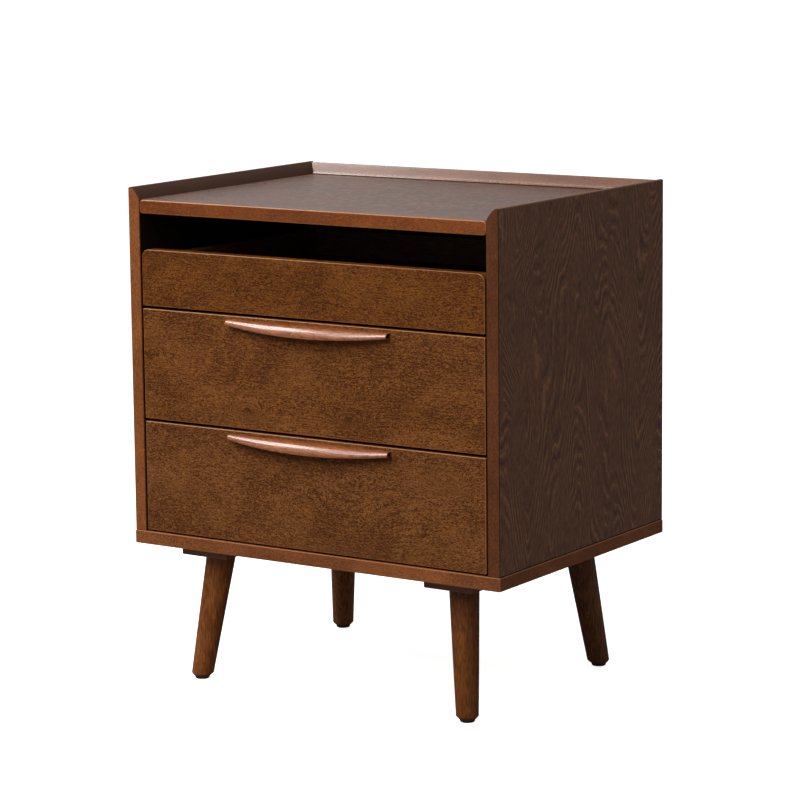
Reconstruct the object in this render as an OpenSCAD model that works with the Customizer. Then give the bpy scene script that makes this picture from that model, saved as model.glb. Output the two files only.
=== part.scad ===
// Nightstand with three drawers, an open pull slot and a raised gallery rim.
// Millimetres, +Z up, the drawers open towards -Y, and the floor is at Z = 0.
// The origin is the middle of the whole outline, handles included, on the floor.

/* [Cabinet] */
// Width of the cabinet over its base board
cabinet_w = 480; // [440:10:560]
// Depth of the cabinet over its base board
cabinet_d = 350; // [345:5:400]
// Height from the floor to the tip of the side rims
cabinet_top = 555; // [540:5:600]
// Height of the cabinet's underside above the floor
leg_clearance = 155; // [130:5:160]
// Thickness of the carcass boards
board_t = 15; // [15:1:18]
// How far the base board stands out past the boards on it
base_reveal = 0.6; // [0.4:0.1:1.5]
// How far the drawer faces and the top's edge sit behind the base board's front
face_setback = 1; // [0.8:0.1:2]
// Thickness of the plywood back
back_t = 5; // [4:0.5:6]

/* [Gallery rim] */
// Height of the rim above the top surface
rim_h = 13.5; // [10:0.5:18]
// Width of the flat tip left above the rim's bevel
rim_flat = 4; // [3:0.5:5]
// How much the bevel bulges from a straight cut
rim_bulge = 1; // [0.5:0.1:1.5]
// How far the back rail's tip is below the side rims
rail_drop = 1; // [0.5:0.5:2]

/* [Drawer fronts] */
// Height of the middle and bottom drawer fronts
deep_front_h = 123; // [115:1:130]
// Height of the top drawer front
shallow_front_h = 62.6; // [58:0.2:66]
// Thickness of the drawer fronts
front_t = 15; // [15:1:18]
// Gap between one drawer front and the next
front_gap = 3.2; // [2:0.2:4]
// Gap under the lowest drawer front
base_gap = 2; // [1.5:0.5:3]
// Gap between a drawer front and the cabinet side
side_gap = 1.9; // [1.5:0.1:2.5]
// Radius of the top drawer front's upper corners
front_corner_r = 9; // [6:1:12]

/* [Drawer boxes] */
// Thickness of the drawer sides and backs
box_t = 12; // [12:1:13]
// Depth of a drawer box behind its front
box_d = 300; // [290:5:305]
// Height of the top drawer's sides
shallow_side_h = 44; // [42:1:46]
// Height of the other drawers' sides
deep_side_h = 95; // [85:5:100]
// Thickness of the plywood drawer bottoms
bottom_t = 4.5; // [4:0.5:5]

/* [Drawer slides] */
// Room that one slide takes beside the drawer box
slide_w = 12.7; // [12.7:0.1:13]
// Length of each slide section
slide_len = 298; // [280:2:300]
// Height of the slides on the two deep drawers
deep_slide_h = 45; // [42:1:46]
// Height of the slides on the top drawer
shallow_slide_h = 35; // [33:1:36]
// Thickness of the slides' sheet steel
steel_t = 1.2; // [1:0.1:1.4]

/* [Handles] */
// Length of a handle
handle_w = 210; // [180:10:240]
// How far a handle stands out at its middle
handle_out = 17; // [15:0.5:19]
// How far a handle stands out at its ends
handle_end_out = 8; // [7:0.5:9]
// Height of a handle at its middle
handle_h = 12.3; // [11.5:0.1:14]
// Height of a handle at its ends
handle_end_h = 6; // [5:0.5:7]
// Distance from a handle's top down from the drawer front's top edge
handle_drop = 3.6; // [3:0.2:6]

/* [Legs] */
// Diameter of a leg where it meets its block
leg_top_d = 33; // [30:1:36]
// Diameter of a leg at its foot
leg_foot_d = 24.5; // [22:0.5:28]
// Distance from the cabinet's side to the centre of a leg's top
leg_inset_x = 79; // [75:1:95]
// Distance from the cabinet's front or back to the centre of a leg's top
leg_inset_y = 55; // [50:1:70]
// How far a foot is splayed sideways from the leg's top
splay_x = 15.5; // [8:0.5:20]
// How far a foot is splayed forwards or backwards from the leg's top
splay_y = 20; // [10:0.5:24]
// Thickness of a leg block
block_t = 12; // [12:1:15]
// Width of a leg block
block_w = 62; // [60:1:70]
// Depth of a leg block
block_d = 66; // [62:1:72]
// Diameter of a floor glide
glide_d = 16.5; // [14:0.5:18]
// Height of a floor glide under the leg
glide_h = 3.5; // [3:0.5:5]

/* [Hidden] */
$fn = 48;
LEVELS = ["top", "middle", "bottom"];
SIDES = ["left", "right"];
CORNERS = ["front_left", "front_right", "back_right", "back_left"];
HANDLED = [1, 2];

// Directions of each side and corner as signs of X and Y
SIDE_SIGN = [-1, 1];
CORNER_SIGNS = [[-1, -1], [1, -1], [1, 1], [-1, 1]];

function per_level(stem) = [for (level = LEVELS) str(level, stem)];
function per_side(stem) = [for (level = LEVELS, side = SIDES) str(level, stem, side)];
function per_corner(stem) = [for (corner = CORNERS) str(stem, corner)];

// Finishes
face_veneer = "#6b4226";
side_veneer = "#4a3325";
edge_wood = "#7d4a26";
turned_wood = "#70452a";
handle_wood = "#b07a58";
box_wood = "#8a6a4a";
ply = "#5a4030";
steel = "#b9bcc0";
beech = "#d2b48c";
black_plastic = "#151515";

// Cuts run past the faces they cross by this much
cut = 1;

// Heights of the carcass
base_top = leg_clearance + board_t;
top_surface = cabinet_top - rim_h;
top_under = top_surface - board_t;
block_under = leg_clearance - block_t;

// The carcass's front and back relative to the origin, which is centred on the handles too
front_y = -(cabinet_d - handle_out + face_setback) / 2;
mid_y = cabinet_d / 2;
outer_x = cabinet_w / 2 - base_reveal;
inner_x = outer_x - board_t;
board_front = base_reveal;
board_back = cabinet_d - base_reveal;

// Back panel in its grooves
groove_depth = 6;
groove_play = 0.1;
groove_end_play = 0.5;
back_y = board_back - board_t / 2 - back_t / 2;
rail_h = 54;
rail_under = cabinet_top - rail_drop - rail_h;
rail_front = board_back - board_t;

// The rim's convex bevel is an arc through its foot and the edge of the flat tip
bevel_w = board_t - rim_flat;
bevel_chord = norm([bevel_w, rim_h]);
bevel_r = (bevel_chord * bevel_chord / 4 + rim_bulge * rim_bulge) / (2 * rim_bulge);

// Carcass dowels
dowel_r = 4;
dowel_hole_r = 4.05;
dowel_shallow = 9;
dowel_deep = 20;
dowel_end_play = 0.8;
panel_dowel_y = [40, mid_y - 5, cabinet_d - 50];
rail_dowel_z = [rail_under + 16, rail_under + 30];

// Drawer fronts, from the top drawer down
front_h = [shallow_front_h, deep_front_h, deep_front_h];
front_z = [
    base_top + base_gap + 2 * deep_front_h + 2 * front_gap,
    base_top + base_gap + deep_front_h + front_gap,
    base_top + base_gap
];
front_w = 2 * (inner_x - side_gap);
face_y = face_setback;
box_y = face_y + front_t;

// Drawer boxes
side_lift = 12;
side_h = [shallow_side_h, deep_side_h, deep_side_h];
box_x = inner_x - slide_w;
box_inner_x = box_x - box_t;
bottom_lift = 8;
bottom_groove = 5;
bottom_play = 0.1;
bottom_end_play = 0.5;

// Drawer dowels
box_dowel_r = 3;
box_dowel_hole_r = 3.05;
box_dowel_z = [[21, 37], [27, 76], [27, 76]];
box_dowel_front = 9;
box_dowel_side = 20;
box_dowel_back = 8;
box_dowel_in_back = 16;

// Slides
slide_h = [shallow_slide_h, deep_slide_h, deep_slide_h];
slide_z = [for (i = [0:2]) front_z[i] + side_lift + (i == 0 ? side_h[0] / 2 : 38)];
slide_y = box_y + 2;
slide_play = 0.5;
slide_corner_r = 2;
outer_depth = 10;
middle_web = 3.6;
middle_depth = 7.2;
inner_depth = 7.3;
slide_screw_y = [slide_y + 30, slide_y + slide_len - 50];
access_hole_r = 5;

// Pan-head screws in the slides
screw_r = 1.75;
screw_pilot_r = 1.8;
screw_clear_r = 2.1;
screw_head_r = 3.5;
screw_head_h = 1.6;
slide_screw_len = 12;

// Handles: the hood turns about an upright axis far behind the drawer face
handle_half = handle_w / 2;
handle_sag = handle_out - handle_end_out;
hood_r = (handle_half * handle_half + handle_sag * handle_sag) / (2 * handle_sag);
handle_rise = handle_h - handle_end_h;
hood_under_r = (handle_half * handle_half + handle_rise * handle_rise) / (2 * handle_rise);
hood_shoulder_r = 6;
hood_roof_t = 7;
hood_lip_t = 5;
hood_lip_slope = 1.5;
hood_axis_back = hood_r - handle_out;
hood_turn = 2 * asin(handle_half / hood_r) + 6;
handle_screw_x = 70;
handle_screw_in = 8;
handle_screw_drop = hood_roof_t / 2;

// Legs
leg_h = block_under - glide_h;
leg_axis_len = norm([splay_x, splay_y, leg_h]);
leg_tilt = acos(leg_h / leg_axis_len);
leg_taper = (leg_top_d - leg_foot_d) / 2 / leg_axis_len;
leg_over = 14;
foot_chamfer = 3;
bolt_r = 4;
bolt_hole_r = 4.05;
bolt_up = block_t - 0.8;
bolt_down = 32;
nail_r = 1.2;
nail_hole_r = 1.25;
nail_len = 12;
glide_edge_r = 2;

// Countersunk screws that hold the leg blocks
block_screw_r = 2;
block_screw_hole_r = 2.2;
block_pilot_r = 2.05;
block_screw_head_r = 4;
block_screw_head_h = 2.4;
block_screw_in = 9.5;
block_screw_x = 23;
block_screw_y = 25;

// ---------------------------------------------------------------- helpers

// Moves a child from the cabinet's own Y, counted from its front, to the part's frame.
module cabinet() {
    translate([0, front_y, 0]) children();
}

// A box between two opposite corners.
module block(low, high) {
    translate(low) cube(high - low);
}

// A round bar along X, Y or Z from a start point; a negative length runs the other way.
module bar_x(start, length, r) {
    translate(start) rotate([0, 90, 0]) bar_z([0, 0, 0], length, r);
}
module bar_y(start, length, r) {
    translate(start) rotate([-90, 0, 0]) bar_z([0, 0, 0], length, r);
}
module bar_z(start, length, r) {
    translate(start + [0, 0, min(length, 0)]) cylinder(h = abs(length), r = r);
}

// Repeats its child on the left and the right of the middle plane.
module both_sides() {
    children();
    mirror([1, 0, 0]) children();
}

// The child as drawn for the right side, or mirrored for the left.
module on_side(s) {
    mirror([SIDE_SIGN[s] < 0 ? 1 : 0, 0, 0]) children();
}

// Centre of a leg's top and of its foot, in the cabinet's own Y.
function leg_top(c) = [
    CORNER_SIGNS[c].x * (cabinet_w / 2 - leg_inset_x),
    mid_y + CORNER_SIGNS[c].y * (mid_y - leg_inset_y),
    block_under
];
function leg_foot(c) = leg_top(c)
    + [CORNER_SIGNS[c].x * splay_x, CORNER_SIGNS[c].y * splay_y, -leg_h];

// Puts a child that runs down -Z along the splayed axis of a leg, starting at its top.
module along_leg(c) {
    signs = CORNER_SIGNS[c];
    translate(leg_top(c))
        rotate(a = leg_tilt, v = [signs.y * splay_y, -signs.x * splay_x, 0])
            children();
}

// The four screw places of a leg block.
module at_block_screws(c) {
    for (dx = [-1, 1], dy = [-1, 1])
        translate([leg_top(c).x + dx * block_screw_x, leg_top(c).y + dy * block_screw_y, 0])
            children();
}

// ---------------------------------------------------------------- carcass

// Outline of a rimmed board: thickness along X from 0 (inside) to board_t, height along Y
// from 0 to tip, with the rim's convex bevel on the inside above the top surface.
module rim_outline(tip, bevel_rise) {
    chord = norm([bevel_w, bevel_rise]);
    into = [bevel_rise, -bevel_w] / chord;
    reach = bevel_r - rim_bulge;
    arc_centre = [bevel_w / 2, tip - bevel_rise / 2] + into * reach;
    square([board_t, tip - bevel_rise]);
    intersection() {
        translate([0, tip - bevel_rise - 0.01]) square([board_t, bevel_rise + 0.01]);
        translate(arc_centre) circle(r = bevel_r, $fn = 96);
    }
}

// Solid right side board before its holes are drilled.
module side_blank() {
    translate([inner_x, board_back, base_top])
        rotate([90, 0, 0])
            linear_extrude(board_back - board_front)
                rim_outline(cabinet_top - base_top, rim_h);
}

module side_panel(s) {
    color(side_veneer) on_side(s) difference() {
        side_blank();
        block(
            [inner_x - cut, back_y - groove_play, base_top - cut],
            [inner_x + groove_depth, back_y + back_t + groove_play, rail_under + groove_depth]
        );
        for (y = panel_dowel_y) {
            bar_z([inner_x + board_t / 2, y, base_top - cut], dowel_deep + 1 + cut, dowel_hole_r);
            bar_x([inner_x - cut, y, top_under + board_t / 2], dowel_shallow + 1 + cut, dowel_hole_r);
        }
        for (z = rail_dowel_z)
            bar_x([inner_x - cut, rail_front + board_t / 2, z], dowel_shallow + 1 + cut, dowel_hole_r);
        for (i = [0:2], y = slide_screw_y)
            bar_x([inner_x - cut, y, slide_z[i]], slide_screw_len + cut, screw_pilot_r);
    }
}

module top_panel() {
    color(face_veneer) difference() {
        block([-inner_x, face_setback, top_under], [inner_x, rail_front, top_surface]);
        both_sides() for (y = panel_dowel_y)
            bar_x([inner_x + cut, y, top_under + board_t / 2], -(dowel_deep + 1 + cut), dowel_hole_r);
    }
}

module base_panel() {
    color(edge_wood) difference() {
        block([-cabinet_w / 2, 0, leg_clearance], [cabinet_w / 2, cabinet_d, base_top]);
        block(
            [-inner_x - groove_depth, back_y - groove_play, base_top - groove_depth],
            [inner_x + groove_depth, back_y + back_t + groove_play, base_top + cut]
        );
        both_sides() for (y = panel_dowel_y)
            bar_z([inner_x + board_t / 2, y, base_top + cut], -(dowel_shallow + 1 + cut), dowel_hole_r);
        for (c = [0:3])
            at_block_screws(c)
                bar_z([0, 0, leg_clearance - cut], block_screw_in + 0.8 + cut, block_pilot_r);
    }
}

module back_panel() {
    side_reach = inner_x + groove_depth - groove_end_play;
    color(ply) block(
        [-side_reach, back_y, base_top - groove_depth + groove_end_play],
        [side_reach, back_y + back_t, rail_under + groove_depth - groove_end_play]
    );
}

// The rail runs between the sides, and above their inner faces its ends are coped to their bevels.
module gallery_rail() {
    tip_x = outer_x - rim_flat;
    color(edge_wood) difference() {
        translate([-tip_x, rail_front, rail_under])
            rotate([90, 0, 90])
                linear_extrude(2 * tip_x)
                    rim_outline(rail_h, rim_h - rail_drop);
        both_sides() side_blank();
        block(
            [-inner_x - cut, back_y - groove_play, rail_under - cut],
            [inner_x + cut, back_y + back_t + groove_play, rail_under + groove_depth]
        );
        both_sides() for (z = rail_dowel_z)
            bar_x([inner_x + cut, rail_front + board_t / 2, z], -(dowel_deep + 1 + cut), dowel_hole_r);
    }
}

module carcass_dowels() {
    across_len = dowel_shallow + dowel_deep - dowel_end_play;
    color(beech) both_sides() {
        for (y = panel_dowel_y) {
            bar_z([inner_x + board_t / 2, y, base_top - dowel_shallow], across_len, dowel_r);
            bar_x([inner_x + dowel_shallow, y, top_under + board_t / 2], -across_len, dowel_r);
        }
        for (z = rail_dowel_z)
            bar_x([inner_x + dowel_shallow, rail_front + board_t / 2, z], -across_len, dowel_r);
    }
}

// ---------------------------------------------------------------- legs

module leg_block(c) {
    top = leg_top(c);
    half = [block_w / 2, block_d / 2, 0];
    color(turned_wood) difference() {
        block(top - half, top + half + [0, 0, block_t]);
        along_leg(c) cylinder(h = 4 * block_t, r = bolt_hole_r, center = true);
        at_block_screws(c) {
            bar_z([0, 0, block_under - cut], block_t + 2 * cut, block_screw_hole_r);
            translate([0, 0, block_under - 0.01])
                cylinder(h = block_screw_head_h, r1 = block_screw_head_r + 0.2, r2 = block_screw_hole_r);
        }
    }
}

// A round taper along the splayed axis, cut level at both ends and chamfered at the foot.
module leg(c) {
    foot = leg_foot(c);
    foot_r = leg_foot_d / 2 - foot_chamfer;
    color(turned_wood) difference() {
        intersection() {
            along_leg(c) translate([0, 0, -leg_axis_len - leg_over])
                cylinder(
                    h = leg_axis_len + 2 * leg_over,
                    r1 = leg_foot_d / 2 - leg_over * leg_taper,
                    r2 = leg_top_d / 2 + leg_over * leg_taper,
                    $fn = 96
                );
            translate([leg_top(c).x, leg_top(c).y, glide_h])
                cylinder(h = leg_h, r = 3 * leg_top_d);
            translate(foot) cylinder(h = leg_h, r1 = foot_r, r2 = foot_r + leg_h, $fn = 96);
        }
        along_leg(c) bar_z([0, 0, 2 * bolt_up], -2 * bolt_up - bolt_down - 1, bolt_hole_r);
        bar_z(foot - [0, 0, cut], nail_len + 1 + cut, nail_hole_r);
    }
}

module leg_bolts() {
    color(steel) for (c = [0:3])
        along_leg(c) bar_z([0, 0, bolt_up], -bolt_up - bolt_down, bolt_r);
}

module block_screws() {
    color(steel) for (c = [0:3]) at_block_screws(c) {
        bar_z([0, 0, block_under + 0.4], block_t + block_screw_in - 0.4, block_screw_r);
        translate([0, 0, block_under + 0.4])
            cylinder(h = block_screw_head_h - 0.4, r1 = block_screw_head_r - 0.4, r2 = block_screw_r);
    }
}

// A nail-on glide: a round plastic pad with a rolled lower edge and a nail up into the leg.
module floor_glides() {
    pad_r = glide_d / 2;
    color(black_plastic) for (c = [0:3])
        translate([leg_foot(c).x, leg_foot(c).y, 0]) rotate_extrude() {
            square([pad_r - glide_edge_r, glide_h]);
            translate([0, glide_edge_r]) square([pad_r, glide_h - glide_edge_r]);
            intersection() {
                translate([pad_r - glide_edge_r, glide_edge_r]) circle(r = glide_edge_r);
                square([pad_r, glide_h]);
            }
            square([nail_r, glide_h + nail_len]);
        }
}

// ---------------------------------------------------------------- drawer slides

// Cross-section of a channel that opens towards +X, with rounded outer corners.
module channel_outline(depth, height) {
    r = slide_corner_r;
    difference() {
        union() {
            translate([r, -height / 2]) square([depth - r, height]);
            translate([0, r - height / 2]) square([depth, height - 2 * r]);
            for (z = [-1, 1])
                translate([r, z * (height / 2 - r)]) circle(r = r);
        }
        translate([steel_t, steel_t - height / 2])
            square([depth, height - 2 * steel_t]);
    }
}

// A slide section of the right-hand side: the channel starts at distance u from the side board
// and opens away from it, or towards it when flipped.
module slide_section(i, u, depth, height, flipped) {
    translate([inner_x - u - (flipped ? depth : 0), slide_y + slide_len, slide_z[i]])
        rotate([90, 0, 0])
            linear_extrude(slide_len)
                mirror([flipped ? 0 : 1, 0, 0]) channel_outline(depth, height);
}

module slide_outer(i, s) {
    color(steel) on_side(s) difference() {
        slide_section(i, 0, outer_depth, slide_h[i], false);
        for (y = slide_screw_y)
            bar_x([inner_x + cut, y, slide_z[i]], -steel_t - 2 * cut, screw_clear_r);
    }
}

function nested_h(i, layers) = slide_h[i] - 2 * layers * (steel_t + slide_play);

module slide_middle_pair(i) {
    color(steel) both_sides() difference() {
        slide_section(i, middle_web, middle_depth, nested_h(i, 1), false);
        for (y = slide_screw_y)
            bar_x([inner_x - middle_web + cut, y, slide_z[i]], -steel_t - 2 * cut, access_hole_r);
    }
}

module slide_inner(i, s) {
    color(steel) on_side(s) difference() {
        slide_section(i, slide_w - inner_depth, inner_depth, nested_h(i, 2), true);
        for (y = slide_screw_y)
            bar_x([box_x - cut, y, slide_z[i]], steel_t + 2 * cut, screw_clear_r);
    }
}

// A pan-head screw of the slides along +X, its head's flat underside at the origin.
module pan_screw() {
    bar_x([0, 0, 0], slide_screw_len - 0.5, screw_r);
    bar_x([0, 0, 0], -screw_head_h, screw_head_r);
}

module slide_screws() {
    color(steel) both_sides() for (i = [0:2], y = slide_screw_y)
        translate([inner_x - steel_t, y, slide_z[i]]) pan_screw();
}

module drawer_slide_screws(i) {
    color(steel) both_sides() for (y = slide_screw_y)
        translate([box_x + steel_t, y, slide_z[i]]) mirror([1, 0, 0]) pan_screw();
}

// ---------------------------------------------------------------- drawers

// Outline of a drawer front in X and Z; only the top drawer's upper corners are rounded.
module front_outline(i) {
    half = front_w / 2;
    r = front_corner_r;
    if (i == 0) {
        translate([-half, 0]) square([front_w, front_h[i] - r]);
        translate([r - half, 0]) square([front_w - 2 * r, front_h[i]]);
        for (x = [-1, 1])
            translate([x * (half - r), front_h[i] - r]) circle(r = r, $fn = 96);
    } else {
        translate([-half, 0]) square([front_w, front_h[i]]);
    }
}

module drawer_front(i) {
    bottom_z = front_z[i] + side_lift + bottom_lift;
    handle_z = front_z[i] + front_h[i] - handle_drop - handle_screw_drop;
    color(face_veneer) difference() {
        translate([0, box_y, front_z[i]])
            rotate([90, 0, 0])
                linear_extrude(front_t)
                    front_outline(i);
        block(
            [-box_inner_x - bottom_groove, box_y - bottom_groove, bottom_z - bottom_play],
            [box_inner_x + bottom_groove, box_y + cut, bottom_z + bottom_t + bottom_play]
        );
        both_sides() for (z = box_dowel_z[i])
            bar_y(
                [box_x - box_t / 2, box_y + cut, front_z[i] + side_lift + z],
                -(box_dowel_front + 1 + cut),
                box_dowel_hole_r
            );
        if (i > 0)
            both_sides() bar_y([handle_screw_x, -cut, handle_z], front_t + 4 * cut, screw_clear_r);
    }
}

module drawer_side(i, s) {
    low = front_z[i] + side_lift;
    color(box_wood) on_side(s) difference() {
        block([box_inner_x, box_y, low], [box_x, box_y + box_d, low + side_h[i]]);
        block(
            [box_inner_x - cut, box_y - cut, low + bottom_lift - bottom_play],
            [
                box_inner_x + bottom_groove,
                box_y + box_d + cut,
                low + bottom_lift + bottom_t + bottom_play
            ]
        );
        for (z = box_dowel_z[i]) {
            bar_y([box_x - box_t / 2, box_y - cut, low + z], box_dowel_side + 1 + cut, box_dowel_hole_r);
            bar_x(
                [box_inner_x - cut, box_y + box_d - box_t / 2, low + z],
                box_dowel_back + 0.5 + cut,
                box_dowel_hole_r
            );
        }
        for (y = slide_screw_y)
            bar_x([box_x + cut, y, slide_z[i]], -(slide_screw_len - 1 + cut), screw_pilot_r);
    }
}

// The back stands on the drawer bottom, between the sides.
module drawer_back(i) {
    low = front_z[i] + side_lift;
    color(box_wood) difference() {
        block(
            [-box_inner_x, box_y + box_d - box_t, low + bottom_lift + bottom_t],
            [box_inner_x, box_y + box_d, low + side_h[i]]
        );
        both_sides() for (z = box_dowel_z[i])
            bar_x(
                [box_inner_x + cut, box_y + box_d - box_t / 2, low + z],
                -(box_dowel_in_back + 1 + cut),
                box_dowel_hole_r
            );
    }
}

module drawer_bottom(i) {
    low = front_z[i] + side_lift + bottom_lift;
    reach = bottom_groove - bottom_end_play;
    color(ply) block(
        [-box_inner_x - reach, box_y - reach, low],
        [box_inner_x + reach, box_y + box_d, low + bottom_t]
    );
}

module drawer_dowels(i) {
    low = front_z[i] + side_lift;
    color(beech) both_sides() for (z = box_dowel_z[i]) {
        bar_y(
            [box_x - box_t / 2, box_y - box_dowel_front, low + z],
            box_dowel_front + box_dowel_side,
            box_dowel_r
        );
        bar_x(
            [box_inner_x - box_dowel_in_back, box_y + box_d - box_t / 2, low + z],
            box_dowel_in_back + box_dowel_back,
            box_dowel_r
        );
    }
}

// ---------------------------------------------------------------- handles

// Cross-section of the hood at its middle: X is the distance out from the drawer face, and
// Y is the height below the handle's top. The roof meets the face, a quarter round makes the
// shoulder, and the lip hangs in front.
module hood_outline() {
    r = hood_shoulder_r;
    steps = 10;
    inner_lip = handle_out - hood_lip_t - hood_lip_slope;
    shoulder = [
        for (k = [0:steps])
            [handle_out - r, -r] + r * [cos(90 * k / steps), sin(90 * k / steps)]
    ];
    polygon(concat(
        [
            [-handle_sag - cut, -hood_roof_t],
            [inner_lip, -hood_roof_t],
            [inner_lip, -handle_h - cut],
            [handle_out - hood_lip_slope, -handle_h - cut]
        ],
        shoulder,
        [[-handle_sag - cut, 0]]
    ));
}

// The hood's cross-section turned about the far axis gives the bow-shaped front, an arc in
// elevation gives the rising lower edge, and the ends and the drawer face cut it square.
module handle(i) {
    top = front_z[i] + front_h[i] - handle_drop;
    color(handle_wood) difference() {
        intersection() {
            translate([0, face_y + hood_axis_back, top])
                rotate([0, 0, -90 - hood_turn / 2])
                    rotate_extrude(angle = hood_turn, $fn = 360)
                        translate([hood_axis_back, 0]) hood_outline();
            translate([0, face_y, top]) rotate([90, 0, 0]) linear_extrude(handle_out + cut)
                intersection() {
                    translate([-handle_half, -handle_h - cut]) square([handle_w, handle_h + 2 * cut]);
                    translate([0, hood_under_r - handle_h]) circle(r = hood_under_r, $fn = 360);
                }
        }
        both_sides() bar_y(
            [handle_screw_x, face_y + cut, top - handle_screw_drop],
            -(handle_screw_in + 0.5 + cut),
            screw_pilot_r
        );
    }
}

module handle_screws(i) {
    z = front_z[i] + front_h[i] - handle_drop - handle_screw_drop;
    color(steel) both_sides() {
        bar_y([handle_screw_x, box_y, z], -(front_t + handle_screw_in), screw_r);
        bar_y([handle_screw_x, box_y, z], screw_head_h, screw_head_r);
    }
}

// ---------------------------------------------------------------- nodes

cabinet() {
    side_panel(0);  // left_side_panel
    side_panel(1);  // right_side_panel
    top_panel();
    base_panel();
    back_panel();
    gallery_rail();
    carcass_dowels();
    leg_bolts();
    block_screws();
    floor_glides();
    slide_screws();
    for (c = [0:3]) {
        leg_block(c);
        leg(c);
    }
    for (i = [0:2]) {
        slide_middle_pair(i);
        drawer_front(i);
        drawer_back(i);
        drawer_bottom(i);
        drawer_dowels(i);
        drawer_slide_screws(i);
        for (s = [0:1]) {
            slide_outer(i, s);
            slide_inner(i, s);
            drawer_side(i, s);
        }
    }
    for (i = HANDLED) {
        handle(i);
        handle_screws(i);
    }
}
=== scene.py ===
"""Nightstand with three drawers, a raised gallery rim, carved bow handles and splayed round legs.

Stained birch throughout. Metres, Z up, the drawers open towards -Y. Every place comes from the
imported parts' own boxes.
"""
import math

import bpy
import mathutils
import numpy as np
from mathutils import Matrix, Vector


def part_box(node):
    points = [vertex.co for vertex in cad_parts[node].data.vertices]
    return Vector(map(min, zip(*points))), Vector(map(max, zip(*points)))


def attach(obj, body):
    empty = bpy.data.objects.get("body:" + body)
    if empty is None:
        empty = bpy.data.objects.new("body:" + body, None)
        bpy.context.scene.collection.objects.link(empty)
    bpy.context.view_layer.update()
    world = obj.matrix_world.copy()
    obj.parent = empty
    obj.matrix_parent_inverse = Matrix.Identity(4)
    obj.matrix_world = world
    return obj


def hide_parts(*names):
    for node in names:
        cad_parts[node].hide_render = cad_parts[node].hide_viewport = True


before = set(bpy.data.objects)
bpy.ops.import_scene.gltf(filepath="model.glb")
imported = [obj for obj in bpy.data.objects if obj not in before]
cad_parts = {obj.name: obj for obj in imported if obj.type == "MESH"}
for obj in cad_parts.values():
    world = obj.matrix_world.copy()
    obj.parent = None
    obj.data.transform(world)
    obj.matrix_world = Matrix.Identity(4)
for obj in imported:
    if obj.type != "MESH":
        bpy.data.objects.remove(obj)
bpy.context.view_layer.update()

MM = 0.001
QUARTER = math.pi / 2
LEVELS = ("top", "middle", "bottom")
SIDES = ("left", "right")
CORNERS = {"front_left": (-1, -1), "front_right": (1, -1), "back_right": (1, 1), "back_left": (-1, 1)}

# For each axis that a board can run along: its outline's two axes, then its own
PLANES = {"x": (1, 2, 0), "y": (0, 2, 1), "z": (0, 1, 2)}

ARC = 6                                 # points on each rounded corner of an outline
FACE, BAND, PAINTED_SHADE, BEVEL = range(4)    # a board's finishes: faces, edge band, painted shade on its inner and hidden sides, rim bevel in painted shade
PAINTED_SHADE_OF_TWO = 1                              # the second finish of a piece that has only two: painted shade on its ends and hidden faces
RIM_LIP = 4 * MM                        # how far the rim's tip stands in from the board's outer face
RIM_BULGE = 1 * MM                      # how far the rim's bevel bulges from a straight slope


def box(node):
    """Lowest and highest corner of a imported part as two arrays."""
    low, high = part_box(node)
    return np.array(low), np.array(high)


# ---------------------------------------------------------------- shapes

def hump(t):
    """4 t (1 - t): one in the middle and nothing at both ends."""
    return 4 * t * (1 - t)


def rounded_outline(corners, radii, wear_and_painted_light, steps=ARC):
    """Outline of a polygon, counter-clockwise, with each corner rounded.

    A corner's arc has its centre at the corner less r (n1 + n2) / (1 + n1.n2), where n1 and n2 are
    the outward normals of the two edges that meet there, and its points are the centre plus r times
    a normal that turns evenly from n1 to n2. Returns points, normals, and the mask of edge wear and
    painted light, which is a hump along an arc that is marked for it and 0 elsewhere.
    """
    p = np.asarray(corners, float)
    r = np.broadcast_to(np.asarray(radii, float), len(p))[:, None, None]
    mark = np.broadcast_to(np.asarray(wear_and_painted_light, float), len(p))[:, None]
    edge = np.roll(p, -1, axis=0) - p
    edge /= np.linalg.norm(edge, axis=1, keepdims=True)
    n_out = np.stack([edge[:, 1], -edge[:, 0]], axis=1)
    n_in = np.roll(n_out, 1, axis=0)
    meet = 1 + (n_in * n_out).sum(1, keepdims=True)
    start = np.arctan2(n_in[:, 1], n_in[:, 0])
    turn = np.arctan2(n_in[:, 0] * n_out[:, 1] - n_in[:, 1] * n_out[:, 0], meet[:, 0] - 1)
    t = np.linspace(0, 1, steps)[None, :]
    angle = start[:, None] + turn[:, None] * t
    normal = np.stack([np.cos(angle), np.sin(angle)], axis=2)
    centre = (p - r[:, 0] * (n_in + n_out) / meet)[:, None, :]
    return (centre + r * normal).reshape(-1, 2), normal.reshape(-1, 2), (mark * hump(t)).reshape(-1)


def rectangle(low, high):
    """Corners of a rectangle, counter-clockwise from its lowest corner."""
    return [(low[0], low[1]), (high[0], low[1]), (high[0], high[1]), (low[0], high[1])]


def arc_segments(corner, ends=0):
    """Numbers of the outline segments along one corner's arc, and of so many beyond each of its ends."""
    return list(range(corner * ARC - ends, (corner + 1) * ARC - 1 + ends))


def in_space(axis, across, along):
    """Puts outline coordinates (..., 2) and a distance along the axis together as points (..., 3)."""
    a, b, c = PLANES[axis]
    out = np.zeros(across.shape[:-1] + (3,))
    out[..., a], out[..., b], out[..., c] = across[..., 0], across[..., 1], along
    return out


def stacked_faces(rings, around):
    """Quads between neighbouring rings of points, and one flat face on each end ring."""
    i, j = np.meshgrid(np.arange(rings - 1), np.arange(around), indexing="ij")
    k = (j + 1) % around
    quads = np.stack([i * around + j, i * around + k, (i + 1) * around + k, (i + 1) * around + j], axis=-1)
    start = list(range(around))[::-1]
    end = list(range((rings - 1) * around, rings * around))
    return quads.reshape(-1, 4).tolist() + [start, end]


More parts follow.
